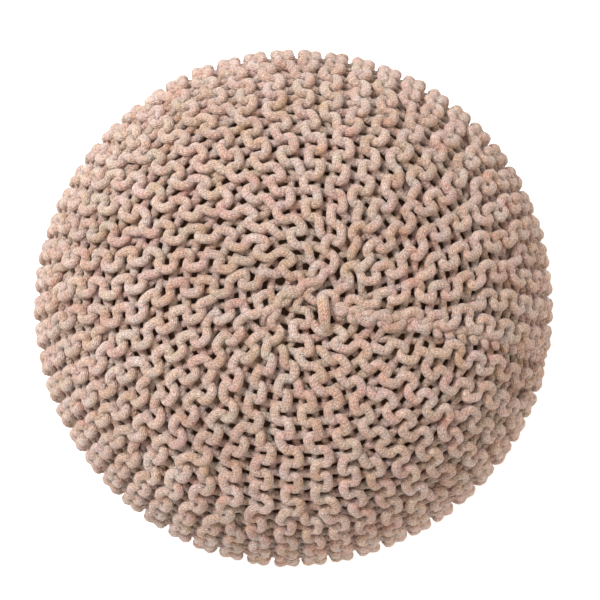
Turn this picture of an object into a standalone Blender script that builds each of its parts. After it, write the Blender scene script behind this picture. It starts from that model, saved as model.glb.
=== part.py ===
"""Round pouf footstool knitted in fat cotton cord: the stuffed cover and the cord that closes its top.

Units are metres and +Z is up. The origin is the centre of the flat underside. The cover is garter
stitch worked in short rows: ten of its ribs run from gather to gather, and at every stitch further
from a gather five more begin, spread evenly around.
"""

import math

import bmesh
import bpy
import numpy as np
from mathutils import Vector
from mathutils.bvhtree import BVHTree

# Overall size over the ribs, and the height of the widest ring
DIAMETER = 0.520
HEIGHT = 0.350
WIDEST_HEIGHT = 0.160
BASE_RADIUS = 0.145

# Roundness of the shoulder and of the lower side: 2 is an ellipse, more is squarer
SHOULDER_POWER = 2.35
LOWER_POWER = 2.10

# The top gather is drawn down into a shallow dimple, a little off the axis
DIMPLE_DEPTH = 0.012
DIMPLE_RADIUS = 0.050
GATHER_OFFSET_X = 0.009

# Knitting: stitches from gather to gather, rows of points down to the underside's edge, ribs around
# the rim and at the gathers, ribs that begin at each further stitch, and how far the stitches start
# from the gather's centre
STITCHES = 25
ROWS = 21
RIBS = 57
FULL_RIBS = 10
NEW_RIBS = 5
GOLDEN_SECTION = (math.sqrt(5.0) - 1.0) / 2.0
EASINGS = 8
GATHER_RADIUS = 0.009
SEAM_ANGLE = math.radians(-12.0)

# Drawing the gather shut twists the first stitches clockwise; the twist dies out in a few stitches
GATHER_TWIST = math.radians(30.0)
TWIST_STITCHES = 2.0

# A rib's section: place across the rib (0 and 1 are the valleys) and share of its height
RIB_HEIGHT = 0.006
RIB_SECTION = (
    (0.00, -0.5),
    (0.25, 0.2),
    (0.50, 0.5),
    (0.75, 0.2),
)
RIB_FADE_STITCHES = 2.0
SEAM_DEPTH = 0.0015

# Hand-made unevenness: waves around, waves down, phase and height of each broad lump
LUMP_WAVES = (
    (2, 1.0, 0.6, 0.0012),
    (3, 2.0, 2.1, 0.0010),
    (5, 1.5, 4.4, 0.0007),
)

# Cord that closes the gather: diameter, and its ends measured from the gather's centre
CORD_DIAMETER = 0.012
CORD_START = (0.017, 0.000)
CORD_END = (0.021, -0.042)
CORD_STATIONS = 9
CORD_SIDES = 10
CORD_GAP = 0.0003

PROFILE_SAMPLES = 600
MEAN_RADIUS = DIAMETER / 2 - RIB_HEIGHT / 2 - 0.001
MEAN_TOP = HEIGHT - RIB_HEIGHT / 2


def clear_scene():
    """Remove whatever the file opened with."""
    for old in list(bpy.data.objects):
        bpy.data.objects.remove(old, do_unlink=True)


def principled(name, colour, roughness):
    """A plain cotton material with the colour given in linear values."""
    material = bpy.data.materials.new(name)
    material.use_nodes = True
    shader = material.node_tree.nodes["Principled BSDF"]
    shader.inputs["Base Color"].default_value = (*colour, 1.0)
    shader.inputs["Roughness"].default_value = roughness
    shader.inputs["Metallic"].default_value = 0.0
    return material


def meridian():
    """Radius and height along the cover from the top gather to the edge of the flat underside.

    The shoulder is a quarter superellipse down to the widest ring, and the lower side another one in
    to the underside. The gather's dimple is a bell curve taken off the height.
    """
    angle = np.linspace(0.0, math.pi / 2, PROFILE_SAMPLES)
    top_r = MEAN_RADIUS * np.sin(angle) ** (2 / SHOULDER_POWER)
    top_z = WIDEST_HEIGHT + (MEAN_TOP - WIDEST_HEIGHT) * np.cos(angle) ** (2 / SHOULDER_POWER)
    top_z = top_z - DIMPLE_DEPTH * np.exp(-((top_r / DIMPLE_RADIUS) ** 2))
    reach = MEAN_RADIUS - BASE_RADIUS
    low_r = BASE_RADIUS + reach * np.cos(angle) ** (2 / LOWER_POWER)
    low_z = WIDEST_HEIGHT * (1.0 - np.sin(angle) ** (2 / LOWER_POWER))
    return np.append(top_r, low_r[1:]), np.append(top_z, low_z[1:])


def stitch_rows():
    """Radius, height and outward normal at the gather's centre and then at the middle of each stitch."""
    radius, height = meridian()
    length = np.append(0.0, np.cumsum(np.hypot(np.diff(radius), np.diff(height))))
    stitch = (length[-1] - GATHER_RADIUS) / (ROWS - 0.5)
    places = np.append(0.0, GATHER_RADIUS + stitch * (np.arange(ROWS) + 0.5))
    along_r = np.interp(places, length, np.gradient(radius, length))
    along_z = np.interp(places, length, np.gradient(height, length))
    size = np.hypot(along_r, along_z)
    return (
        np.interp(places, length, radius),
        np.interp(places, length, height),
        -along_z / size,
        along_r / size,
    )


def rib_starts():
    """Stitch at which each rib begins, counted from either gather.

    Steps of the golden section rank the ribs so that those of like rank lie evenly around the cover.
    """
    rank = np.argsort(np.argsort(np.arange(RIBS) * GOLDEN_SECTION % 1.0))
    return np.maximum(0, (rank - FULL_RIBS) // NEW_RIBS + 1)


def has_begun(start, row):
    """Whether a rib with this start is there at a row."""
    return start < row <= STITCHES - start


def valley_turns(row, starts):
    """Turns from the seam to the valley before each rib of a row, as shares of a full turn.

    A rib runs straight down at its own place at the rim, but is eased aside by its neighbours: each
    easing moves it halfway to the middle between the two next to it.
    """
    middles = np.array([(rib + 0.5) / RIBS for rib, start in enumerate(starts) if has_begun(start, row)])
    for _ in range(EASINGS):
        before = np.append(middles[-1] - 1.0, middles[:-1])
        after = np.append(middles[1:], middles[0] + 1.0)
        middles = (before + 2.0 * middles + after) / 4.0
    return (np.append(middles[-1] - 1.0, middles[:-1]) + middles) / 2.0


def gather_twist(row):
    """Angle by which a row is turned back by the drawing up of the nearer gather."""
    stitch = row - 0.5
    near_top = math.exp(-stitch / TWIST_STITCHES)
    near_bottom = math.exp(-(STITCHES - stitch) / TWIST_STITCHES)
    return GATHER_TWIST * (near_top + near_bottom)


def relief(row, turn, across, on_seam):
    """Height of the knitting over the mean surface: the rib's section, the seam and the lumps."""
    fade_in = min(1.0, row / RIB_FADE_STITCHES)
    fade_out = min(1.0, (ROWS - row) / RIB_FADE_STITCHES)
    down = row / ROWS
    lump = 0.0
    for around, waves, phase, height in LUMP_WAVES:
        lump += height * math.sin(around * turn + phase) * math.sin(math.pi * waves * down + phase)
    seam = SEAM_DEPTH if on_seam else 0.0
    return (across * RIB_HEIGHT + lump - seam) * fade_in * fade_out


def row_points(row, rows, starts):
    """Points of one stitch row, four to each rib that has begun."""
    radius, height, normal_r, normal_z = (column[row] for column in rows)
    valleys = valley_turns(row, starts)
    points = []
    for rib, valley in enumerate(valleys):
        width = (valleys[0] + 1.0 if rib == len(valleys) - 1 else valleys[rib + 1]) - valley
        for place, across in RIB_SECTION:
            turn = SEAM_ANGLE - gather_twist(row) + 2 * math.pi * (valley + place * width)
            on_seam = rib == 0 and place == 0.0
            out = relief(row, turn, across, on_seam)
            ring = radius + out * normal_r
            shift = GATHER_OFFSET_X * (1.0 - (radius / MEAN_RADIUS) ** 2)
            if height < WIDEST_HEIGHT:
                shift = 0.0
            x = ring * math.cos(turn) + shift
            y = ring * math.sin(turn)
            points.append((x, y, height + out * normal_z))
    return points


def join_rows(bm, upper, lower, upper_row, lower_row, starts):
    """Faces between two stitch rows; where a rib begins or ends, its section fans out of one point."""
    upper_at = 0
    lower_at = 0
    for start in starts:
        above = int(has_begun(start, upper_row))
        below = int(has_begun(start, lower_row))
        for _ in range(len(RIB_SECTION) * max(above, below)):
            a = upper[upper_at % len(upper)]
            b = upper[(upper_at + above) % len(upper)]
            c = lower[(lower_at + below) % len(lower)]
            d = lower[lower_at % len(lower)]
            corners = [a, d, c, b]
            face = [corner for at, corner in enumerate(corners) if corner is not corners[at - 1]]
            bm.faces.new(face)
            upper_at += above
            lower_at += below


def knitted_cover(material):
    """The stuffed cover as one solid: a fan at the gather, ribbed rows, and a flat underside."""
    rows = stitch_rows()
    starts = rib_starts()
    bm = bmesh.new()
    gather = bm.verts.new((GATHER_OFFSET_X, 0.0, rows[1][0]))
    above = [bm.verts.new(point) for point in row_points(1, rows, starts)]
    for at, vert in enumerate(above):
        bm.faces.new((gather, above[at - 1], vert))
    for row in range(2, ROWS + 1):
        below = [bm.verts.new(point) for point in row_points(row, rows, starts)]
        join_rows(bm, above, below, row - 1, row, starts)
        above = below
    bm.faces.new(list(reversed(above)))
    bmesh.ops.triangulate(bm, faces=bm.faces[:])
    bmesh.ops.recalc_face_normals(bm, faces=bm.faces[:])
    surface = BVHTree.FromBMesh(bm)
    mesh = bpy.data.meshes.new("knitted_cover")
    bm.to_mesh(mesh)
    bm.free()
    mesh.shade_smooth()
    mesh.materials.append(material)
    cover = bpy.data.objects.new("knitted_cover", mesh)
    bpy.context.collection.objects.link(cover)
    return surface


def seated_height(surface, x, y, clearance):
    """Lowest height over (x, y) from which the cover is nowhere nearer than the clearance."""
    hit = surface.ray_cast(Vector((x, y, 2 * HEIGHT)), Vector((0.0, 0.0, -1.0)))[0]
    height = hit.z + clearance
    for _ in range(40):
        near = surface.find_nearest(Vector((x, y, height)))
        height += max(0.0, clearance - near[3])
    return height


def closing_cord(material, surface):
    """The cord that closes the gather: a short round bar with domed ends, lying on the cover."""
    radius = CORD_DIAMETER / 2
    centres = []
    for along in np.linspace(0.0, 1.0, CORD_STATIONS):
        x = GATHER_OFFSET_X + CORD_START[0] + along * (CORD_END[0] - CORD_START[0])
        y = CORD_START[1] + along * (CORD_END[1] - CORD_START[1])
        centres.append(Vector((x, y, seated_height(surface, x, y, radius + CORD_GAP))))
    middle = CORD_STATIONS // 2
    axis = (centres[-1] - centres[0]).normalized()
    side = axis.cross(Vector((0.0, 0.0, 1.0))).normalized()
    bm = bmesh.new()
    rings = []
    for at, centre in enumerate(centres):
        dome = abs(at - middle) / middle
        ring_radius = radius * math.sqrt(1.0 - 0.85 * dome ** 6)
        ahead = centres[min(at + 1, CORD_STATIONS - 1)]
        behind = centres[max(at - 1, 0)]
        up = side.cross(ahead - behind).normalized()
        ring = []
        for turn in np.linspace(0.0, 2 * math.pi, CORD_SIDES, endpoint=False):
            point = centre + ring_radius * (side * math.cos(turn) + up * math.sin(turn))
            ring.append(bm.verts.new(point))
        rings.append(ring)
    for first, second in zip(rings, rings[1:]):
        for at in range(CORD_SIDES):
            bm.faces.new((first[at - 1], first[at], second[at], second[at - 1]))
    bm.faces.new(rings[0])
    bm.faces.new(rings[-1])
    bmesh.ops.recalc_face_normals(bm, faces=bm.faces[:])
    mesh = bpy.data.meshes.new("closing_cord")
    bm.to_mesh(mesh)
    bm.free()
    mesh.shade_smooth()
    mesh.materials.append(material)
    cord = bpy.data.objects.new("closing_cord", mesh)
    bpy.context.collection.objects.link(cord)


def main():
    """Build the footstool."""
    clear_scene()
    cotton = principled("beige_cotton_knit", (0.47, 0.32, 0.26), 0.92)
    cord_cotton = principled("beige_cotton_cord", (0.50, 0.35, 0.28), 0.90)
    surface = knitted_cover(cotton)
    closing_cord(cord_cotton, surface)


main()
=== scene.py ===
"""The looks of the knitted pouf footstool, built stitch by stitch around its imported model.

The cover is garter stitch in fat cotton cord. Every course of the knitting is a row of loops, and a rib
is two courses: the cord runs up the first, round a turn at the top, and down the second. All shapes are
worked out with numpy in metres, +Z up.
"""

import math

import bpy
import numpy as np
from bpy.props import FloatProperty, FloatVectorProperty, IntProperty, PointerProperty
from bpy.types import Operator, Panel, PropertyGroup
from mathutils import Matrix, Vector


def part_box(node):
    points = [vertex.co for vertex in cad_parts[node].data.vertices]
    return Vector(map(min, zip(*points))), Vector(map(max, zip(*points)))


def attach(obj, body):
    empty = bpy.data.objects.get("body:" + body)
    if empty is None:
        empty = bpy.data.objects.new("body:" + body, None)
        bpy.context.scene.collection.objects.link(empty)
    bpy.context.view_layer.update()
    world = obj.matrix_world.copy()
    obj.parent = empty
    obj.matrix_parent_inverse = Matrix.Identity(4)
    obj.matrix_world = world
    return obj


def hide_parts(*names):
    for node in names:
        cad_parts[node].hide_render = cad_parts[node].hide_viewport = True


bl_info = {
    "name": "Knitted Pouf",
    "version": (1, 0, 0),
    "blender": (4, 5, 0),
    "location": "3D View > Sidebar > Pouf",
    "description": "Builds a round pouf footstool knitted in fat cotton cord",
    "category": "Add Mesh",
}

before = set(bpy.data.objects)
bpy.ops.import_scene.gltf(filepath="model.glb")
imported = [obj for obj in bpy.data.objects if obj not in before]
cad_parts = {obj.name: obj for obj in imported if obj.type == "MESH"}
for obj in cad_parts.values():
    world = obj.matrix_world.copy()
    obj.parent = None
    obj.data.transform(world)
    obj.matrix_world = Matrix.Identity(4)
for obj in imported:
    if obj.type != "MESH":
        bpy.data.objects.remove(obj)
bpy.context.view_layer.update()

# Ribs around the rim, and ribs in a group that begins at the same stitch from a gather
RIBS = 57
GROUP_RIBS = 5

# The stitch at which two groups begin together, because one alone would leave the holes there too wide
DOUBLED_STITCH = 2

GOLDEN_SECTION = (math.sqrt(5.0) - 1.0) / 2.0

# Times that each rib is eased towards the middle between its neighbours
EASINGS = 8

# Ribs in each piece of the knitting, counted anticlockwise from the sewn seam
PIECE_RIBS = (11, 12, 11, 12, 11)

# Room that the seam's stitches take between the last rib and the first, in ribs
SEAM_ROOM = 0.45

# Broad hand-made unevenness: waves around, waves down, phase and height of each lump
LUMP_WAVES = (
    (2, 1.0, 0.6, 0.0012),
    (3, 2.0, 2.1, 0.0010),
    (5, 1.5, 4.4, 0.0007),
)

# A loop's outline as waves over one stitch: how often it repeats, and its size
LOOP_SWING = ((2, 0.105), (4, -0.016))
LOOP_RISE = ((1, 0.550), (3, -0.045), (5, -0.004))
LOOP_DEPTH = ((1, 1.22), (3, -0.22))

# Place of a course's feet across its rib, by the face that the course shows
FEET = {1: -0.235, -1: 0.265}

# How far from a gather the stitches are drawn, in stitches, and how much more uneven it makes them
DRAWN_STITCHES = 2.0
DRAWN_UNEVENNESS = 1.5

# Unevenness of the stitches as a step in stitches and a size: in the loops' size, in place across in ribs
# and along in stitches, in depth in metres, and in tone
UNEVEN_SIZE = (1.0, 0.035)
UNEVEN_ACROSS = (0.5, 0.018)
UNEVEN_ALONG = (0.5, 0.025)
UNEVEN_DEPTH = (0.5, 0.0006)
UNEVEN_TONE = (1.3, 1.0)

# Unevenness of the cord's thickness as a step in cross-sections and a share of the radius
SLOW_SWELLING = (9.0, 0.02)
QUICK_SWELLING = (1.6, 0.03)

# A rib's ends: how far the cord turns or is led on in stitches, how deep it is led in, and the
# cross-sections that each takes
END_REACH = 0.3
TAIL_DEPTH = 0.030
TURN_RINGS = 10
TAIL_RINGS = 8

# A cord's domed end, as shares of its radius: how far it stands out, and its width there
CAP_REACH = 0.5
CAP_WIDTH = 0.7

# Pattern on the cord: columns of knitting around it, length of their rows, and lean of their chevrons
COLUMNS_AROUND = 7.0
ROW_LENGTH = 0.0034
CHEVRON_LEAN = 1.1

# Scale and detail of the cord's noises: fuzz, mottled and broad dye, shift of hue and greyness
FUZZ = (520.0, 2.0)
MOTTLE = (110.0, 3.0)
BROAD = (11.0, 1.0)
HUE = (46.0, 1.0)
GREYNESS = (61.0, 1.0)

# Weights in the dye, from dark to light: the stitch's tone and the mottling, less an even level
TONE_WEIGHT = 0.16
MOTTLE_WEIGHT = 1.4
DYE_LEVEL = 0.7

# How much the knitted crests are painted lighter than their grooves, as painted light; how much the fuzz
# lightens the cord, a random fibre tone that is also painted lighter where the fuzz stands higher; and the
# fuzz's height against the crests
CREST_PAINTED_LIGHT = 0.45
FUZZ_TONE_AND_PAINTED_LIGHT = 1.60
FUZZ_HEIGHT = 1.2

# Reach and base of the shift in hue, where 0.5 is none, and in saturation, where 1 is none
HUE_SHIFT = (0.08, 0.46)
SATURATION_SHIFT = (1.2, 0.42)

# Finish of the cotton cord: dull, a little light passes through, and a pale sheen at grazing angles
CORD_FINISH = {
    "Roughness": 0.88,
    "Specular IOR Level": 0.25,
    "Subsurface Weight": 0.3,
    "Subsurface Radius": (1.0, 0.75, 0.65),
    "Subsurface Scale": 0.003,
    "Sheen Weight": 0.25,
    "Sheen Roughness": 0.5,
    "Sheen Tint": (0.95, 0.84, 0.78, 1.0),
}


class CoverSizes(PropertyGroup):
    """Sizes of the stuffed cover."""

    diameter: FloatProperty(
        name="Diameter",
        description="Width over the ribs",
        default=0.520,
        subtype="DISTANCE",
    )
    height: FloatProperty(
        name="Height",
        description="Height over the ribs",
        default=0.350,
        subtype="DISTANCE",
    )
    widest_height: FloatProperty(
        name="Widest height",
        description="Height of the widest ring over the floor",
        default=0.160,
        subtype="DISTANCE",
    )
    base_radius: FloatProperty(
        name="Base radius",
        description="Radius of the flat underside",
        default=0.145,
        subtype="DISTANCE",
    )
    shoulder_power: FloatProperty(
        name="Shoulder power",
        description="Squareness of the shoulder: 2 is an ellipse",
        default=2.35,
    )
    lower_power: FloatProperty(
        name="Lower power",
        description="Squareness of the lower side: 2 is an ellipse",
        default=2.10,
    )
    dimple_depth: FloatProperty(
        name="Dimple depth",
        description="How far the top gather is drawn down",
        default=0.012,
        subtype="DISTANCE",
    )
    dimple_radius: FloatProperty(
        name="Dimple radius",
        description="Radius of the top gather's dimple",
        default=0.050,
        subtype="DISTANCE",
    )
    gather_offset: FloatProperty(
        name="Gather offset",
        description="How far the top gather lies off the axis, along X",
        default=0.009,
        subtype="DISTANCE",
    )
    rib_height: FloatProperty(
        name="Rib height",
        description="Height of a rib over its valleys",
        default=0.006,
        subtype="DISTANCE",
    )


class KnitSizes(PropertyGroup):
    """Sizes of the knitting."""

    cord_diameter: FloatProperty(
        name="Cord diameter",
        description="Thickness of the knitting cord",
        default=0.0098,
        subtype="DISTANCE",
    )
    stitches: IntProperty(
        name="Stitches",
        description="Stitches from gather to gather",
        default=25,
    )
    side_stitches: FloatProperty(
        name="Side stitches",
        description="Stitches from the top gather to the edge of the underside",
        default=20.5,
    )
    gather_radius: FloatProperty(
        name="Gather radius",
        description="Distance from a gather's centre to the first stitches",
        default=0.009,
        subtype="DISTANCE",
    )
    seam_angle: FloatProperty(
        name="Seam angle",
        description="Direction of the sewn seam from the X axis",
        default=math.radians(-12.0),
        subtype="ANGLE",
    )
    gather_twist: FloatProperty(
        name="Gather twist",
        description="Turn of the first stitches where the gather is drawn shut",
        default=math.radians(30.0),
        subtype="ANGLE",
    )
    twist_stitches: FloatProperty(
        name="Twist stitches",
        description="Stitches over which the gather's twist dies out",
        default=2.0,
    )
    loop_depth: FloatProperty(
        name="Loop depth",
        description="How far a loop reaches out of the middle of the knitting",
        default=0.0052,
        subtype="DISTANCE",
    )
    back_share: FloatProperty(
        name="Back share",
        description="How far a loop reaches behind the middle, as a share of the loop depth",
        default=0.70,
        subtype="FACTOR",
    )
    leg_thinning: FloatProperty(
        name="Leg thinning",
        description="Share by which the taut legs of a loop are thinner than its head and foot",
        default=0.04,
        subtype="FACTOR",
    )
    back_thinning: FloatProperty(
        name="Back thinning",
        description="Share by which the cord is thinner where it lies behind",
        default=0.22,
        subtype="FACTOR",
    )
    gather_thinning: FloatProperty(
        name="Gather thinning",
        description="Share by which the cord is drawn thinner at the gathers",
        default=0.14,
        subtype="FACTOR",
    )
    unevenness: FloatProperty(
        name="Unevenness",
        description="Size of the hand-made irregularity of single stitches",
        default=0.7,
        subtype="FACTOR",
    )
    rings_per_stitch: IntProperty(
        name="Rings per stitch",
        description="Cross-sections of the cord in one stitch",
        default=26,
    )
    cord_sides: IntProperty(
        name="Cord sides",
        description="Points around the cord",
        default=8,
    )


class PoufColours(PropertyGroup):
    """Colours of the pouf, in linear values."""

    cord_light: FloatVectorProperty(
        name="Cord, light",
        description="Lighter colour of the cotton cord",
        default=(0.70, 0.51, 0.43),
        subtype="COLOR",
    )
    cord_dark: FloatVectorProperty(
        name="Cord, dark",
        description="Darker colour of the cotton cord",
        default=(0.53, 0.365, 0.285),
        subtype="COLOR",
    )
    # Dark as painted shade: this colour stands in for the shade in the deep gaps between the stitches
    filling: FloatVectorProperty(
        name="Filling",
        description="Colour of what shows in the deepest gaps",
        default=(0.22, 0.12, 0.065),
        subtype="COLOR",
    )
    floor: FloatVectorProperty(
        name="Floor",
        description="Colour of the floor",
        default=(0.9, 0.9, 0.9),
        subtype="COLOR",
    )


class CoverSurface:
    """The stuffed cover's mean surface: a turned profile that is read by stitch and by turn."""

    # Room for the lumps within the diameter, points on each curve of the profile and across the
    # underside, and those at its start where the radius only grows
    LUMP_ROOM = 0.001
    CURVE_POINTS = 500
    BASE_POINTS = 80
    TOP_POINTS = 400

    # The relief begins this many stitches before the first, and is full this many further on
    FADE_LEAD = 0.5
    FADE_STITCHES = 2.0

    def __init__(self, sizes, knit):
        self.stitches = knit.stitches
        self.mean_radius = sizes.diameter / 2 - sizes.rib_height / 2 - self.LUMP_ROOM
        self.widest_height = sizes.widest_height
        self.gather_offset = sizes.gather_offset
        self.crest = sizes.rib_height / 2
        self.seam_angle = knit.seam_angle
        self.gather_twist = knit.gather_twist
        self.twist_stitches = knit.twist_stitches
        radius, height, side_length = self.meridian(sizes)
        self.radius = radius
        self.height = height
        self.length = np.append(0.0, np.cumsum(np.hypot(np.diff(radius), np.diff(height))))
        along_r = np.gradient(radius, self.length)
        along_z = np.gradient(height, self.length)
        size = np.hypot(along_r, along_z)
        self.normal_r = -along_z / size
        self.normal_z = along_r / size
        self.stitch_length = (side_length - knit.gather_radius) / knit.side_stitches
        base_length = (sizes.base_radius - knit.gather_radius) / (knit.stitches - knit.side_stitches)
        inner = knit.gather_radius
        self.stitch_knots = (
            -inner / self.stitch_length,
            0.0,
            knit.side_stitches,
            knit.stitches,
            knit.stitches + inner / base_length,
        )
        self.length_knots = (
            0.0,
            inner,
            side_length,
            side_length + sizes.base_radius - inner,
            side_length + sizes.base_radius,
        )
        self.side_stitches = knit.side_stitches

    def meridian(self, sizes):
        """Radius and height from the top gather to the underside's centre.

        The shoulder is a quarter superellipse down to the widest ring, the lower side another one in to
        the flat underside, and the gather's dimple is a bell curve taken off the height.
        """
        angle = np.linspace(0.0, math.pi / 2, self.CURVE_POINTS)
        mean_top = sizes.height - sizes.rib_height / 2
        low = sizes.widest_height
        top_r = self.mean_radius * np.sin(angle) ** (2 / sizes.shoulder_power)
        top_z = low + (mean_top - low) * np.cos(angle) ** (2 / sizes.shoulder_power)
        top_z = top_z - sizes.dimple_depth * np.exp(-((top_r / sizes.dimple_radius) ** 2))
        reach = self.mean_radius - sizes.base_radius
        low_r = sizes.base_radius + reach * np.cos(angle) ** (2 / sizes.lower_power)
        low_z = low * (1.0 - np.sin(angle) ** (2 / sizes.lower_power))
        side_r = np.append(top_r, low_r[1:])
        side_z = np.append(top_z, low_z[1:])
        side_length = np.hypot(np.diff(side_r), np.diff(side_z)).sum()
        base_r = np.linspace(sizes.base_radius, 0.0, self.BASE_POINTS)[1:]
        radius = np.append(side_r, base_r)
        height = np.append(side_z, np.zeros(len(base_r)))
        return radius, height, side_length

    def profile(self, stitch):
        """Radius, height and outward normal at a stitch position, read off the meridian by its length."""
        place = np.interp(stitch, self.stitch_knots, self.length_knots)
        return tuple(
            np.interp(place, self.length, column)
            for column in (self.radius, self.height, self.normal_r, self.normal_z)
        )

    def twist(self, stitch):
        """Angle by which a stitch is turned back by the nearer gather: it decays away from each."""
        near_top = np.exp(-np.maximum(stitch, 0.0) / self.twist_stitches)
        near_bottom = np.exp(-np.maximum(self.stitches - stitch, 0.0) / self.twist_stitches)
        return self.gather_twist * (near_top + near_bottom)

    def relief(self, turn, stitch):
        """Height of the rib crests and broad lumps over the mean surface; both fade at the ends."""
        fade_in = np.clip((stitch + self.FADE_LEAD) / self.FADE_STITCHES, 0.0, 1.0)
        fade_out = np.clip((self.side_stitches - stitch) / self.FADE_STITCHES, 0.0, 1.0)
        down = (stitch + self.FADE_LEAD) / (self.side_stitches + self.FADE_LEAD)
        lump = np.zeros(np.shape(stitch))
        for around, waves, phase, height in LUMP_WAVES:
            lump = lump + height * np.sin(around * turn + phase) * np.sin(math.pi * waves * down + phase)
        return (self.crest + lump) * fade_in * fade_out

    def points(self, turn, stitch, out):
        """Points at a turn and a stitch, moved out along the normal, and the normals there."""
        radius, height, normal_r, normal_z = self.profile(stitch)
        ring = radius + out * normal_r
        share = 1.0 - (radius / self.mean_radius) ** 2
        shift = np.where(height > self.widest_height, self.gather_offset * share, 0.0)
        cos = np.cos(turn)
        sin = np.sin(turn)
        points = np.stack([ring * cos + shift, ring * sin, height + out * normal_z], axis=-1)
        normals = np.stack([normal_r * cos, normal_r * sin, normal_z], axis=-1)
        return points, normals


def rib_starts():
    """Stitch at which each rib begins, counted from either gather.

    Steps of the golden section rank the ribs so that those of like rank lie evenly around the cover. The
    first group begins at the gather and each further one a stitch on, but two begin at the doubled stitch.
    """
    rank = np.argsort(np.argsort(np.arange(RIBS) * GOLDEN_SECTION % 1.0))
    group = rank // GROUP_RIBS
    return np.where(group > DOUBLED_STITCH, group - 1, group)


class RibMap:
    """Turns a place in the knitting, in ribs across and stitches along, into a turn around the cover.

    A rib runs straight down at its own place at the rim, but is eased aside by the ribs beside it. Its
    middle and its width are worked out at steps of the stitch and then smoothed along the rib.
    """

    # Steps in one stitch, and how many of them the smoothing reaches to either side
    STEPS = 8
    REACH = 6

    def __init__(self, surface):
        self.surface = surface
        self.starts = rib_starts()
        rows = range(surface.stitches * self.STEPS + 1)
        table = np.array([self.eased(row / self.STEPS) for row in rows])
        self.middles = self.smoothed(table[:, 0])
        self.widths = self.smoothed(table[:, 1])

    def eased(self, stitch):
        """Middle and width of each rib that is there at a stitch, as shares of a full turn.

        Each easing moves a rib halfway to the middle between the two next to it.
        """
        there = np.flatnonzero((self.starts <= stitch) & (stitch <= self.surface.stitches - self.starts))
        middles = (there + 0.5) / RIBS
        for _ in range(EASINGS):
            before = np.append(middles[-1] - 1.0, middles[:-1])
            after = np.append(middles[1:], middles[0] + 1.0)
            middles = (before + 2.0 * middles + after) / 4.0
        before = np.append(middles[-1] - 1.0, middles[:-1])
        after = np.append(middles[1:], middles[0] + 1.0)
        row = np.full((2, RIBS), np.nan)
        row[0, there] = middles
        row[1, there] = (after - before) / 2.0
        return row

    def smoothed(self, table):
        """Each rib's column, held beyond its ends and averaged along the rib with a bell's weights."""
        bell = np.hanning(2 * self.REACH + 3)[1:-1]
        places = np.arange(-self.REACH, len(table) + self.REACH)
        columns = []
        for column in table.T:
            there = np.flatnonzero(~np.isnan(column))
            held = np.interp(places, there, column[there])
            columns.append(np.convolve(held, bell / bell.sum(), mode="valid"))
        return np.array(columns)

    def turn(self, rib, across, stitch):
        """Turn of a place, its distance across counted from the rib's start in the rib's own width."""
        at = np.clip(stitch, 0.0, self.surface.stitches) * self.STEPS
        places = np.arange(self.middles.shape[1])
        middle = np.interp(at, places, self.middles[rib])
        width = np.interp(at, places, self.widths[rib])
        room = SEAM_ROOM / (RIBS + SEAM_ROOM)
        share = room / 2.0 + (middle + (across - 0.5) * width) * (1.0 - room)
        return self.surface.seam_angle + 2 * math.pi * share - self.surface.twist(stitch)


def wander(rng, places, step, size):
    """A smooth random line: one value every step along, blended with a smooth ease in between."""
    at = (places - places.min()) / step
    values = rng.normal(0.0, size, int(at.max()) + 3)
    whole = at.astype(int)
    share = at - whole
    share = share * share * (3.0 - 2.0 * share)
    return values[whole] * (1.0 - share) + values[whole + 1] * share


def waves(table, tau, wave):
    """Sum of a table's waves at a place in the stitch."""
    return sum(size * wave(2 * math.pi * times * tau) for times, size in table)


def loop_shape(tau):
    """One stitch, from foot to foot: sideways swing in stitches, rise in ribs, and depth.

    The swing makes foot and head wider than the leg between them, the rise carries the cord from the
    foot to the head and back, and the depth takes it from one face of the knitting to the other.
    """
    swing = waves(LOOP_SWING, tau, np.sin)
    rise = waves(LOOP_RISE, 0.0 * tau, np.cos) - waves(LOOP_RISE, tau, np.cos)
    depth = -waves(LOOP_DEPTH, tau, np.cos)
    return swing, rise, depth


# Points along the loop on which its bends are measured, and a bend's weight against the length
FINE_POINTS = 801
BEND_WEIGHT = 1.6


def loop_places(count, stitch_length, rib_width, depth):
    """Places in a stitch for the cord's cross-sections: close together where the cord bends most."""
    fine = np.linspace(0.0, 1.0, FINE_POINTS)
    swing, rise, deep = loop_shape(fine)
    path = np.stack([(fine + swing) * stitch_length, rise * rib_width, deep * depth], axis=-1)
    steps = np.diff(path, axis=0)
    length = np.linalg.norm(steps, axis=1)
    direction = steps / length[:, None]
    bend = np.linalg.norm(np.diff(direction, axis=0), axis=1)
    bend = np.append(bend[:1], bend)
    share = np.cumsum(length / length.sum() + BEND_WEIGHT * bend / bend.sum())
    return np.interp(np.arange(count) / count, np.append(0.0, share) / share[-1], fine)


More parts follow.
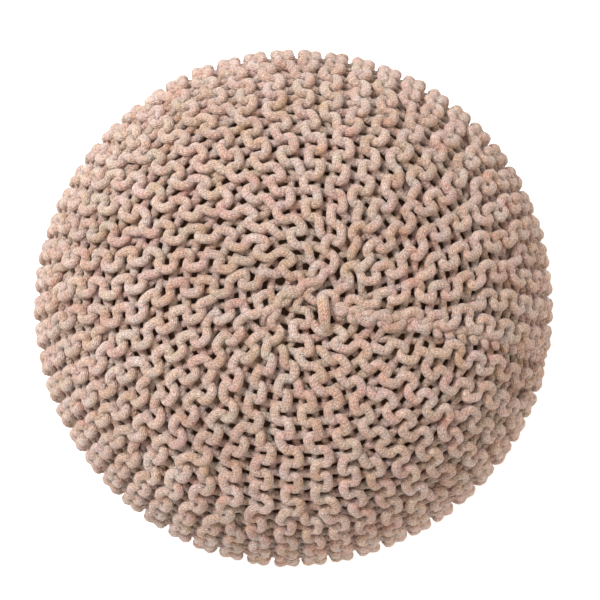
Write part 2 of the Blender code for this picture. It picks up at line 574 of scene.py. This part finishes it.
def course(knit, first, face, rng, places):
    """One course of loops: place across the rib, stitch, depth, tone and thickness of the cord.

    The first course of a rib (face 1) has its heads in front, the second (face -1) its feet. Where it
    lies behind, the depth is eased by its square to the back share, because stretched knitting is flat.
    The stitches near a gather are the most uneven.
    """
    count = round(knit.stitches - 2 * first)
    tau = np.tile(places, count)
    stitch = np.repeat(first + np.arange(count), len(places)) + tau
    swing, rise, depth = loop_shape(tau)
    drawn = np.exp(-np.minimum(stitch, knit.stitches - stitch) / DRAWN_STITCHES)
    uneven = knit.unevenness * (1.0 + DRAWN_UNEVENNESS * drawn)
    size = 1.0 + wander(rng, stitch, *UNEVEN_SIZE) * uneven
    across = FEET[face] + rise * size + wander(rng, stitch, *UNEVEN_ACROSS) * uneven
    along = stitch + swing * size + wander(rng, stitch, *UNEVEN_ALONG) * uneven
    facing = face * depth
    flatter = (1.0 - knit.back_share) / 2.0
    deep = (facing * (1.0 - flatter) + facing * facing * flatter) * knit.loop_depth
    deep = deep + wander(rng, stitch, *UNEVEN_DEPTH) * uneven
    tone = wander(rng, stitch, *UNEVEN_TONE)
    leg = (1.0 - np.cos(4 * math.pi * tau)) / 2
    behind = (1.0 - facing) / 2
    thin = (1.0 - knit.leg_thinning * leg) * (1.0 - knit.back_thinning * behind)
    thin = thin * (1.0 - knit.gather_thinning * drawn)
    return np.stack([across, along, deep, tone, thin], axis=-1)


def turn_between(last, first, bulge, count):
    """The cord's turn at the end of a course: half a circle from one course's foot to the next's."""
    share = (np.arange(count) + 1.0) / (count + 1.0)
    ease = (1.0 - np.cos(math.pi * share)) / 2.0
    path = last[None, :] * (1.0 - ease[:, None]) + first[None, :] * ease[:, None]
    path[:, 1] += bulge * np.sin(math.pi * share)
    return path


def tail(end, away, inward, count):
    """The cord's end, led into the pouf behind the other stitches."""
    share = (np.arange(count) + 1.0) / count
    path = np.repeat(end[None, :], count, axis=0)
    path[:, 1] += away * np.sin(share * math.pi / 2)
    path[:, 2] -= inward * (1.0 - np.cos(share * math.pi / 2))
    return path


def rib_path(knit, first, rng, places):
    """The cord's way through one rib: up its first course, down its second, and both ends led in."""
    up = course(knit, first, 1, rng, places)[::-1]
    down = course(knit, first, -1, rng, places)
    turn = turn_between(up[-1], down[0], -END_REACH, TURN_RINGS)
    start = tail(up[0], END_REACH, TAIL_DEPTH, TAIL_RINGS)[::-1]
    end = tail(down[-1], END_REACH, TAIL_DEPTH, TAIL_RINGS)
    return np.concatenate([start, up, turn, down, end])


def tube_mesh(name, path, normals, radii, sides, tones):
    """A cord: a ring of points around each point of the path, square to it, with a domed end.

    A ring's axes are the path's direction crossed with the cover's normal, and that crossed with the
    direction. Its texture runs once around, and along by length in metres.
    """
    direction = np.gradient(path, axis=0)
    direction /= np.linalg.norm(direction, axis=1)[:, None]
    side = np.cross(direction, normals)
    side /= np.linalg.norm(side, axis=1)[:, None]
    up = np.cross(side, direction)
    start_cap = path[:1] - direction[:1] * radii[0] * CAP_REACH
    end_cap = path[-1:] + direction[-1:] * radii[-1] * CAP_REACH
    path = np.concatenate([start_cap, path, end_cap])
    side = np.concatenate([side[:1], side, side[-1:]])
    up = np.concatenate([up[:1], up, up[-1:]])
    radii = np.concatenate([radii[:1] * CAP_WIDTH, radii, radii[-1:] * CAP_WIDTH])
    tones = np.concatenate([tones[:1], tones, tones[-1:]])
    count = len(path)
    angle = np.arange(sides) * 2 * math.pi / sides
    ring = np.cos(angle)[None, :, None] * side[:, None, :] + np.sin(angle)[None, :, None] * up[:, None, :]
    points = (path[:, None, :] + radii[:, None, None] * ring).reshape(-1, 3)
    at = (np.arange(count - 1) * sides)[:, None]
    k = np.arange(sides)[None, :]
    nxt = (k + 1) % sides
    quads = np.stack([at + k, at + nxt, at + sides + nxt, at + sides + k], axis=-1).reshape(-1, 4)
    caps = [np.arange(sides)[::-1], (count - 1) * sides + np.arange(sides)]
    along = np.append(0.0, np.cumsum(np.linalg.norm(np.diff(path, axis=0), axis=1)))
    low = np.broadcast_to(along[:-1, None], (count - 1, sides))
    high = np.broadcast_to(along[1:, None], (count - 1, sides))
    left = np.broadcast_to(k / sides, (count - 1, sides))
    right = np.broadcast_to((k + 1) / sides, (count - 1, sides))
    uv = np.stack(
        [
            np.stack([left, low], axis=-1),
            np.stack([right, low], axis=-1),
            np.stack([right, high], axis=-1),
            np.stack([left, high], axis=-1),
        ],
        axis=2,
    ).reshape(-1, 2)
    uv_caps = np.zeros((2 * sides, 2))
    uv_caps[sides:, 1] = along[-1]
    loops = np.concatenate([quads.ravel(), caps[0], caps[1]])
    starts = np.append(np.arange(len(quads)) * 4, [len(quads) * 4, len(quads) * 4 + sides])
    return mesh_object(name, points, loops, starts, np.concatenate([uv, uv_caps]), np.repeat(tones, sides))


def mesh_object(name, points, loops, starts, uv, tones):
    """Puts arrays of points, face corners and texture places into a new mesh object."""
    mesh = bpy.data.meshes.new(name)
    mesh.vertices.add(len(points))
    mesh.vertices.foreach_set("co", points.astype(np.float32).ravel())
    mesh.loops.add(len(loops))
    mesh.loops.foreach_set("vertex_index", loops.astype(np.int32))
    mesh.polygons.add(len(starts))
    mesh.polygons.foreach_set("loop_start", starts.astype(np.int32))
    layer = mesh.uv_layers.new(name="along_cord")
    layer.uv.foreach_set("vector", uv.astype(np.float32).ravel())
    tone = mesh.attributes.new("tone", "FLOAT", "POINT")
    tone.data.foreach_set("value", tones.astype(np.float32))
    mesh.update(calc_edges=True)
    mesh.validate()
    mesh.shade_smooth()
    made = bpy.data.objects.new(name, mesh)
    bpy.context.scene.collection.objects.link(made)
    return made


def add_node(tree, kind, inputs=None, **settings):
    """Adds a shader node, sets its properties, and fills or links the inputs given by name or number."""
    made = tree.nodes.new(kind)
    for key, value in settings.items():
        setattr(made, key, value)
    for key, value in (inputs or {}).items():
        if isinstance(value, bpy.types.NodeSocket):
            tree.links.new(value, made.inputs[key])
        else:
            made.inputs[key].default_value = value
    return made


def math_node(tree, operation, first, second=0.0):
    """A Math node's result."""
    return add_node(tree, "ShaderNodeMath", {0: first, 1: second}, operation=operation).outputs[0]


def noise(tree, place, scale, detail):
    """A noise's value, from about 0.3 to 0.7, at a place on the piece."""
    kept = {"Vector": place, "Scale": scale, "Detail": detail, "Roughness": 0.6}
    return add_node(tree, "ShaderNodeTexNoise", kept).outputs["Fac"]


def new_material(name):
    """A new material with its node tree and its surface shader."""
    material = bpy.data.materials.new(name)
    material.use_nodes = True
    tree = material.node_tree
    return material, tree, tree.nodes["Principled BSDF"]


def scaled(tree, value, slope, base):
    """A value times a slope, plus a base."""
    return math_node(tree, "ADD", math_node(tree, "MULTIPLY", value, slope), base)


def cord_material(name, colours):
    """Cotton cord knitted as a fine tube: columns of small chevrons, soft fuzz and uneven dye, with
    painted light on the chevrons' crests and the raised fuzz.
    """
    material, tree, shader = new_material(name)
    place = add_node(tree, "ShaderNodeUVMap", uv_map="along_cord").outputs["UV"]
    around_along = add_node(tree, "ShaderNodeSeparateXYZ", {0: place})
    around = around_along.outputs[0]
    along = around_along.outputs[1]
    body = add_node(tree, "ShaderNodeTexCoord").outputs["Object"]
    tone = add_node(tree, "ShaderNodeAttribute", attribute_name="tone").outputs["Fac"]

    # Chevrons run up each column as a sine wave and fade towards its edges
    columns = math_node(tree, "MULTIPLY", around, COLUMNS_AROUND)
    in_column = math_node(tree, "PINGPONG", columns, 0.5)
    rows = math_node(tree, "MULTIPLY", along, 1.0 / ROW_LENGTH)
    lean = math_node(tree, "MULTIPLY", in_column, CHEVRON_LEAN)
    phase = math_node(tree, "MULTIPLY", math_node(tree, "ADD", rows, lean), 2 * math.pi)
    chevrons = math_node(tree, "SINE", phase)
    chevrons = math_node(tree, "MULTIPLY", math_node(tree, "ADD", chevrons, 1.0), 0.5)
    column_round = math_node(tree, "SINE", math_node(tree, "MULTIPLY", in_column, 2 * math.pi))
    knit = math_node(tree, "MULTIPLY", chevrons, math_node(tree, "ABSOLUTE", column_round))

    fuzz = noise(tree, body, *FUZZ)
    mottle = noise(tree, body, *MOTTLE)
    broad = noise(tree, body, *BROAD)
    hue = noise(tree, body, *HUE)
    grey = noise(tree, body, *GREYNESS)

    by_stitch = math_node(tree, "MULTIPLY", tone, TONE_WEIGHT)
    share = math_node(tree, "ADD", by_stitch, math_node(tree, "MULTIPLY", mottle, MOTTLE_WEIGHT))
    share = math_node(tree, "SUBTRACT", math_node(tree, "ADD", share, broad), DYE_LEVEL)
    share = add_node(tree, "ShaderNodeClamp", {0: share}).outputs[0]
    base = add_node(
        tree,
        "ShaderNodeMix",
        {"Factor": share, "A": (*colours.cord_dark, 1.0), "B": (*colours.cord_light, 1.0)},
        data_type="RGBA",
    )
    # Painted light and shade: the knit's crests are lighter and its grooves darker, and the fuzz is
    # lighter where its bump stands higher
    crests = math_node(tree, "MULTIPLY", knit, CREST_PAINTED_LIGHT)
    shifted = add_node(
        tree,
        "ShaderNodeHueSaturation",
        {
            "Hue": scaled(tree, hue, *HUE_SHIFT),
            "Saturation": scaled(tree, grey, *SATURATION_SHIFT),
            "Value": math_node(tree, "ADD", crests, math_node(tree, "MULTIPLY", fuzz, FUZZ_TONE_AND_PAINTED_LIGHT)),
            "Color": base.outputs["Result"],
        },
    )
    tree.links.new(shifted.outputs["Color"], shader.inputs["Base Color"])

    relief = math_node(tree, "ADD", knit, math_node(tree, "MULTIPLY", fuzz, FUZZ_HEIGHT))
    bump = add_node(tree, "ShaderNodeBump", {"Strength": 0.8, "Distance": 0.0012, "Height": relief})
    tree.links.new(bump.outputs["Normal"], shader.inputs["Normal"])
    for key, value in CORD_FINISH.items():
        shader.inputs[key].default_value = value
    return material


def filling_material(name, colour):
    """The cloth behind the stitches: a dull surface with a faint weave, coloured dark as painted shade for
    the gaps between them.
    """
    material, tree, shader = new_material(name)
    body = add_node(tree, "ShaderNodeTexCoord").outputs["Object"]
    weave = {"Vector": body, "Scale": 300.0, "Detail": 3.0}
    grain = add_node(tree, "ShaderNodeTexNoise", weave).outputs["Fac"]
    dark = (*[0.6 * c for c in colour], 1.0)
    light = (*[1.4 * c for c in colour], 1.0)
    ends = {"Factor": grain, "A": dark, "B": light}
    share = add_node(tree, "ShaderNodeMix", ends, data_type="RGBA")
    tree.links.new(share.outputs["Result"], shader.inputs["Base Color"])
    bump = add_node(tree, "ShaderNodeBump", {"Strength": 0.4, "Distance": 0.0006, "Height": grain})
    tree.links.new(bump.outputs["Normal"], shader.inputs["Normal"])
    shader.inputs["Roughness"].default_value = 0.95
    return material


def stand_in(piece, slot, *nodes):
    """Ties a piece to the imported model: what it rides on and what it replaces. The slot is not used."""
    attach(piece, "root")
    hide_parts(*nodes)


class POUF_OT_filling(Operator):
    """Build the stuffed core behind the stitches, coloured dark as painted shade in the gaps between them
    """

    bl_idname = "pouf.filling"
    bl_label = "Filling"

    # Rings from gather to gather, points around each, and room left under the stitches
    ROWS = 97
    AROUND = 160
    CLEARANCE = 0.001

    def execute(self, context):
        scene = context.scene
        surface = CoverSurface(scene.pouf_cover, scene.pouf_knit)
        stitch = np.linspace(surface.stitch_knots[0], surface.stitch_knots[-1], self.ROWS)[1:-1]
        around = self.AROUND
        turn = np.arange(around) * 2 * math.pi / around
        grid_turn, grid_stitch = np.meshgrid(turn, stitch)
        below = -(2 * scene.pouf_knit.loop_depth + scene.pouf_knit.cord_diameter + self.CLEARANCE)
        out = below + surface.relief(grid_turn, grid_stitch)
        points = surface.points(grid_turn, grid_stitch, out)[0].reshape(-1, 3)
        at = (np.arange(len(stitch) - 1) * around)[:, None]
        k = np.arange(around)[None, :]
        nxt = (k + 1) % around
        quads = np.stack([at + k, at + around + k, at + around + nxt, at + nxt], axis=-1).reshape(-1, 4)
        caps = [np.arange(around), (len(stitch) - 1) * around + np.arange(around)[::-1]]
        loops = np.concatenate([quads.ravel(), caps[0], caps[1]])
        starts = np.append(np.arange(len(quads)) * 4, [len(quads) * 4, len(quads) * 4 + around])
        uv = points[loops][:, :2]
        piece = mesh_object("filling", points, loops, starts, uv, np.zeros(len(points)))
        # Painted shade: the filling's dark colour stands in for the shade deep in the gaps
        piece.data.materials.append(filling_material("painted_shade_cloth", scene.pouf_colours.filling))
        stand_in(piece, "cotton_knit", "knitted_cover")
        return {"FINISHED"}


class POUF_OT_knit(Operator):
    """Knit the cover, rib by rib"""

    bl_idname = "pouf.knit"
    bl_label = "Knitted ribs"

    # Seed of the first piece's random draws; each further piece takes the next
    SEED = 410

    def execute(self, context):
        scene = context.scene
        knit = scene.pouf_knit
        surface = CoverSurface(scene.pouf_cover, knit)
        rib_map = RibMap(surface)
        material = cord_material("cotton_cord_knit", scene.pouf_colours)
        rib_width = 2 * math.pi * surface.mean_radius / RIBS
        places = loop_places(knit.rings_per_stitch, surface.stitch_length, rib_width, knit.loop_depth)
        radius = knit.cord_diameter / 2
        for piece_number, piece_ribs in enumerate(PIECE_RIBS):
            rng = np.random.default_rng(self.SEED + piece_number)
            first_rib = sum(PIECE_RIBS[:piece_number])
            ribs = []
            for rib in range(first_rib, first_rib + piece_ribs):
                across, stitch, deep, tone, thin = rib_path(knit, rib_map.starts[rib], rng, places).T
                ribs.append(np.stack([rib_map.turn(rib, across, stitch), stitch, deep, tone, thin]))
            turn, stitch, deep, tone, thin = np.concatenate(ribs, axis=1)
            out = surface.relief(turn, stitch) - radius - knit.loop_depth + deep
            path, normals = surface.points(turn, stitch, out)
            rings = np.arange(len(path))
            swelling = 1.0 + wander(rng, rings, *SLOW_SWELLING) + wander(rng, rings, *QUICK_SWELLING)
            radii = radius * swelling * thin
            path[:, 2] = np.maximum(path[:, 2], radii)
            name = f"knit_piece_{piece_number + 1}"
            piece = tube_mesh(name, path, normals, radii, knit.cord_sides, tone)
            piece.data.materials.append(material)
            stand_in(piece, "cotton_knit", "knitted_cover")
        return {"FINISHED"}


class POUF_OT_seam(Operator):
    """Sew the seam: a chain of links from the top gather to the underside"""

    bl_idname = "pouf.seam"
    bl_label = "Seam"

    # A link of the chain: its length, how far it swings aside and in depth, how far it is sunk between
    # the ribs, and its cross-sections
    LINK_LENGTH = 0.0145
    HALF_WIDTH = 0.0044
    DEPTH = 0.0038
    SUNK = 0.0015
    RINGS = 16

    # Radius as a share of the knitting cord's diameter, and the least radius about the gathers at which
    # the links' width is turned into an angle
    THICKNESS = 0.44
    LEAST_REACH = 0.02

    # Unevenness as a step in links and a size: aside and in depth in metres, and in tone
    UNEVEN_ASIDE = (0.5, 0.0012)
    UNEVEN_DEPTH = (0.5, 0.0005)
    UNEVEN_TONE = (0.8, 1.0)
    CHAIN_SEED = 90
    CORD_SEED = 91

    def execute(self, context):
        scene = context.scene
        knit = scene.pouf_knit
        surface = CoverSurface(scene.pouf_cover, knit)
        span = knit.stitches - 2 * self.LINK_LENGTH / surface.stitch_length
        links = round(span * surface.stitch_length / self.LINK_LENGTH)
        turn, stitch, deep, tone = self.chain(surface, links, span).T
        radius = knit.cord_diameter * self.THICKNESS
        out = surface.relief(turn, stitch) - radius - self.DEPTH - self.SUNK + deep
        path, normals = surface.points(turn, stitch, out)
        rng = np.random.default_rng(self.CORD_SEED)
        radii = radius * (1.0 + wander(rng, np.arange(len(path)), *QUICK_SWELLING))
        path[:, 2] = np.maximum(path[:, 2], radii)
        piece = tube_mesh("seam_chain", path, normals, radii, knit.cord_sides, tone)
        piece.data.materials.append(cord_material("cotton_cord_seam", scene.pouf_colours))
        stand_in(piece, "cotton_knit", "knitted_cover")
        return {"FINISHED"}

    def chain(self, surface, links, span):
        """A chain of links as turn, stitch, depth and tone.

        In links along, the cord goes forward and back as (1 - cos) / 2 while it moves on by one with
        each; it swings out as sin - sin(2) / 2, narrow at the base and wide at the head, and both of
        these lie behind, at -cos(2).
        """
        rng = np.random.default_rng(self.CHAIN_SEED)
        place = np.arange(links * self.RINGS + 1) / self.RINGS
        angle = 2 * math.pi * place
        along = place + np.sin(angle) / (2 * math.pi) + (1.0 - np.cos(angle)) / 2.0
        aside = self.HALF_WIDTH * (np.sin(angle) - np.sin(2 * angle) / 2.0)
        aside = aside + wander(rng, place, *self.UNEVEN_ASIDE)
        stitch = along * span / (links + 1) + self.LINK_LENGTH / surface.stitch_length
        deep = -self.DEPTH * np.cos(2 * angle) + wander(rng, place, *self.UNEVEN_DEPTH)
        reach = np.maximum(surface.profile(stitch)[0], self.LEAST_REACH)
        turn = surface.seam_angle - surface.twist(stitch) + aside / reach
        return np.stack([turn, stitch, deep, wander(rng, place, *self.UNEVEN_TONE)], axis=-1)


class POUF_OT_gather_strand(Operator):
    """Draw one strand of the knitting slantwise over the top gather"""

    bl_idname = "pouf.gather_strand"
    bl_label = "Gather strand"

    # Both ends as seen from above, from the gather's middle, the bow between them, and how deep the
    # ends dive in
    START = (-0.038, -0.030)
    END = (0.028, 0.022)
    BOW = 0.008
    ENDS_DOWN = 0.014

    # Gentle waves along the strand as their count and size: aside in metres, in height in radii
    WAVES_ASIDE = (3.5, 0.0024)
    WAVES_HIGH = (3.0, 0.35)

    # How far the strand is sunk into the stitches, in radii, its radius as a share of the knitting cord's
    # diameter, its cross-sections and the points around them
    SUNK = 0.5
    THICKNESS = 0.43
    RINGS = 64
    SIDES = 12

    # Unevenness as a step in cross-sections and a size: in thickness and in tone
    SWELLING = (4.0, 0.07)
    TONE = (9.0, 1.0)
    SEED = 93

    def execute(self, context):
        scene = context.scene
        surface = CoverSurface(scene.pouf_cover, scene.pouf_knit)
        radius = scene.pouf_knit.cord_diameter * self.THICKNESS
        path = self.way(surface, radius)
        rng = np.random.default_rng(self.SEED)
        places = np.arange(self.RINGS)
        radii = radius * (1.0 + wander(rng, places, *self.SWELLING))
        tones = wander(rng, places, *self.TONE)
        normals = np.repeat([[0.0, 0.0, 1.0]], self.RINGS, axis=0)
        piece = tube_mesh("gather_strand", path, normals, radii, self.SIDES, tones)
        piece.data.materials.append(cord_material("cotton_cord_strand", scene.pouf_colours))
        stand_in(piece, "cotton_knit", "knitted_cover")
        return {"FINISHED"}

    def way(self, surface, radius):
        """The strand's path over the gather.

        Seen from above it runs from start to end with a bow of sin(pi (1 - (1 - share)^2)) to its left.
        It lies on the stitches, waves gently and dives in at both ends as the eighth power.
        """
        share = np.linspace(0.0, 1.0, self.RINGS)
        start = np.array(self.START)
        step = np.array(self.END) - start
        left = np.array([-step[1], step[0]]) / np.linalg.norm(step)
        bow = self.BOW * np.sin(math.pi * (1.0 - (1.0 - share) ** 2))
        count, size = self.WAVES_ASIDE
        bow = bow + size * np.sin(2 * math.pi * count * share)
        flat = start + step * share[:, None] + left * bow[:, None]
        top = slice(surface.TOP_POINTS)
        place = np.interp(np.hypot(flat[:, 0], flat[:, 1]), surface.radius[top], surface.length[top])
        stitch = np.interp(place, surface.length_knots, surface.stitch_knots)
        height = surface.profile(stitch)[1] + surface.relief(0.0 * stitch, stitch)
        count, size = self.WAVES_HIGH
        height = height + radius * (size * np.sin(2 * math.pi * count * share) - self.SUNK)
        height = height - self.ENDS_DOWN * (2 * share - 1) ** 8
        return np.stack([flat[:, 0] + surface.gather_offset, flat[:, 1], height], axis=-1)


class POUF_OT_closing_cord(Operator):
    """Lay the thick cord that closes the top gather"""

    bl_idname = "pouf.closing_cord"
    bl_label = "Closing cord"

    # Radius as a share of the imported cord's width, and how much thicker the cord is at its start
    THICKNESS = 0.4
    TAPER = 0.10

    # How much lower it starts, how high it arches, and how deep its ends dive in
    START_DOWN = 0.004
    ARCH = 0.003
    ENDS_DOWN = 0.010

    # Cross-sections and the points around them
    RINGS = 24
    SIDES = 16

    # Unevenness as a step in cross-sections and a size: in thickness and in tone
    SWELLING = (3.0, 0.05)
    TONE = (4.0, 1.0)
    SEED = 92

    def execute(self, context):
        low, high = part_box("closing_cord")
        radius = (high.x - low.x) * self.THICKNESS
        share = np.linspace(0.0, 1.0, self.RINGS)
        start = np.array([low.x + radius, high.y - radius, high.z - radius - self.START_DOWN])
        end = np.array([high.x - radius, low.y + radius, high.z - radius])
        path = start * (1 - share[:, None]) + end * share[:, None]
        path[:, 2] += self.ARCH * np.sin(math.pi * share) - self.ENDS_DOWN * (2 * share - 1) ** 4
        normals = np.repeat([[0.0, 0.0, 1.0]], self.RINGS, axis=0)
        rng = np.random.default_rng(self.SEED)
        places = np.arange(self.RINGS)
        taper = self.TAPER * np.cos(math.pi * share)
        radii = radius * (1.0 + taper + wander(rng, places, *self.SWELLING))
        tones = wander(rng, places, *self.TONE)
        piece = tube_mesh("closing_cord_top", path, normals, radii, self.SIDES, tones)
        piece.data.materials.append(cord_material("cotton_cord_closing", context.scene.pouf_colours))
        stand_in(piece, "cotton_cord", "closing_cord")
        return {"FINISHED"}


class POUF_OT_stage(Operator):
    """Set the floor, the soft lights and the camera"""

    bl_idname = "pouf.stage"
    bl_label = "Stage"

    def execute(self, context):
        scene = context.scene
        build_floor(scene.pouf_colours.floor)
        build_lights(scene)
        build_camera(scene)
        return {"FINISHED"}


# Half the floor's width, and the light that it gives off, as a lit studio table does
FLOOR_HALF = 6.0
FLOOR_GLOW = 0.55


def build_floor(colour):
    """A wide plain pale floor."""
    half = FLOOR_HALF
    points = np.array([[-half, -half, 0.0], [half, -half, 0.0], [half, half, 0.0], [-half, half, 0.0]])
    floor = mesh_object("floor", points, np.arange(4), np.array([0]), points[:, :2], np.zeros(4))
    material, _, shader = new_material("pale_floor")
    shader.inputs["Base Color"].default_value = (*colour, 1.0)
    shader.inputs["Roughness"].default_value = 0.9
    shader.inputs["Emission Color"].default_value = (1.0, 1.0, 1.0, 1.0)
    shader.inputs["Emission Strength"].default_value = FLOOR_GLOW
    floor.data.materials.append(material)


# Each light: name, place, size in metres, power in watts and colour
LIGHTS = (
    ("key_light", (-1.5, 1.2, 2.6), 1.0, 84.0, (1.0, 1.0, 1.0)),
    ("fill_light", (1.9, -1.0, 2.0), 1.6, 12.0, (1.0, 0.76, 0.52)),
)

# The point inside the pouf that the lights aim at, and the strength of the pale sky
LIGHT_TARGET = (0.0, 0.0, 0.2)
SKY_STRENGTH = 0.62


def build_lights(scene):
    """A soft light from the photograph's upper left, a weak warm one opposite, and a pale sky."""
    for name, place, size, power, colour in LIGHTS:
        data = bpy.data.lights.new(name, "AREA")
        data.shape = "DISK"
        data.size = size
        data.energy = power
        data.color = colour
        lamp = bpy.data.objects.new(name, data)
        scene.collection.objects.link(lamp)
        aim(lamp, place, LIGHT_TARGET)
    world = bpy.data.worlds.new("pale_sky")
    world.use_nodes = True
    background = world.node_tree.nodes["Background"]
    background.inputs["Color"].default_value = (1.0, 1.0, 1.0, 1.0)
    background.inputs["Strength"].default_value = SKY_STRENGTH
    scene.world = world
    scene.view_settings.view_transform = "Standard"


def aim(thing, place, target):
    """Puts a light or camera at a place and points it at a target, level with the horizon."""
    thing.location = place
    away = np.subtract(place, target)
    level = math.hypot(away[0], away[1])
    thing.rotation_euler = (math.atan2(level, away[2]), 0.0, math.atan2(away[0], -away[1]))


# The camera looks down at the pouf from this elevation, far enough off for the widest ring to be
# OUTLINE_RADIUS pixels of the photograph's 600, with the ring's middle at OUTLINE_CENTRE
CAMERA_ELEVATION = math.radians(85.0)
CAMERA_LENS = 180.0
SENSOR_WIDTH = 36.0
PHOTO_WIDTH = 600.0
OUTLINE_RADIUS = 258.9
OUTLINE_CENTRE = (294.3, 307.6)


def build_camera(scene):
    """The photograph's view: almost straight down, from the side that faces -Y."""
    cover = scene.pouf_cover
    data = bpy.data.cameras.new("camera")
    data.lens = CAMERA_LENS
    data.sensor_width = SENSOR_WIDTH
    pixels_per_slope = CAMERA_LENS / SENSOR_WIDTH * PHOTO_WIDTH
    distance = cover.diameter / 2 * pixels_per_slope / OUTLINE_RADIUS
    camera = bpy.data.objects.new("camera", data)
    scene.collection.objects.link(camera)
    target = (0.0, 0.0, cover.widest_height)
    place = (
        0.0,
        -distance * math.cos(CAMERA_ELEVATION),
        cover.widest_height + distance * math.sin(CAMERA_ELEVATION),
    )
    aim(camera, place, target)
    data.shift_x = (PHOTO_WIDTH / 2 - OUTLINE_CENTRE[0]) / PHOTO_WIDTH
    data.shift_y = (OUTLINE_CENTRE[1] - PHOTO_WIDTH / 2) / PHOTO_WIDTH
    scene.camera = camera


class POUF_PT_panel(Panel):
    """Lists the pouf's pieces, sizes and colours"""

    bl_idname = "POUF_PT_panel"
    bl_label = "Knitted Pouf"
    bl_space_type = "VIEW_3D"
    bl_region_type = "UI"
    bl_category = "Pouf"

    def draw(self, context):
        scene = context.scene
        for piece in PIECES:
            self.layout.operator(piece.bl_idname)
        for group in (scene.pouf_cover, scene.pouf_knit, scene.pouf_colours):
            column = self.layout.column(align=True)
            for key in group.__annotations__:
                column.prop(group, key)


PIECES = (
    POUF_OT_filling,
    POUF_OT_knit,
    POUF_OT_seam,
    POUF_OT_gather_strand,
    POUF_OT_closing_cord,
    POUF_OT_stage,
)
CLASSES = (CoverSizes, KnitSizes, PoufColours, *PIECES, POUF_PT_panel)


def register():
    """Registers the classes and the scene's settings."""
    for cls in CLASSES:
        bpy.utils.register_class(cls)
    bpy.types.Scene.pouf_cover = PointerProperty(type=CoverSizes)
    bpy.types.Scene.pouf_knit = PointerProperty(type=KnitSizes)
    bpy.types.Scene.pouf_colours = PointerProperty(type=PoufColours)


def unregister():
    """Removes the settings and the classes."""
    del bpy.types.Scene.pouf_cover
    del bpy.types.Scene.pouf_knit
    del bpy.types.Scene.pouf_colours
    for cls in reversed(CLASSES):
        bpy.utils.unregister_class(cls)


def main():
    """Builds every piece and the stage."""
    register()
    bpy.ops.pouf.filling()
    bpy.ops.pouf.knit()
    bpy.ops.pouf.seam()
    bpy.ops.pouf.gather_strand()
    bpy.ops.pouf.closing_cord()
    bpy.ops.pouf.stage()


if __name__ == "__main__":
    main()
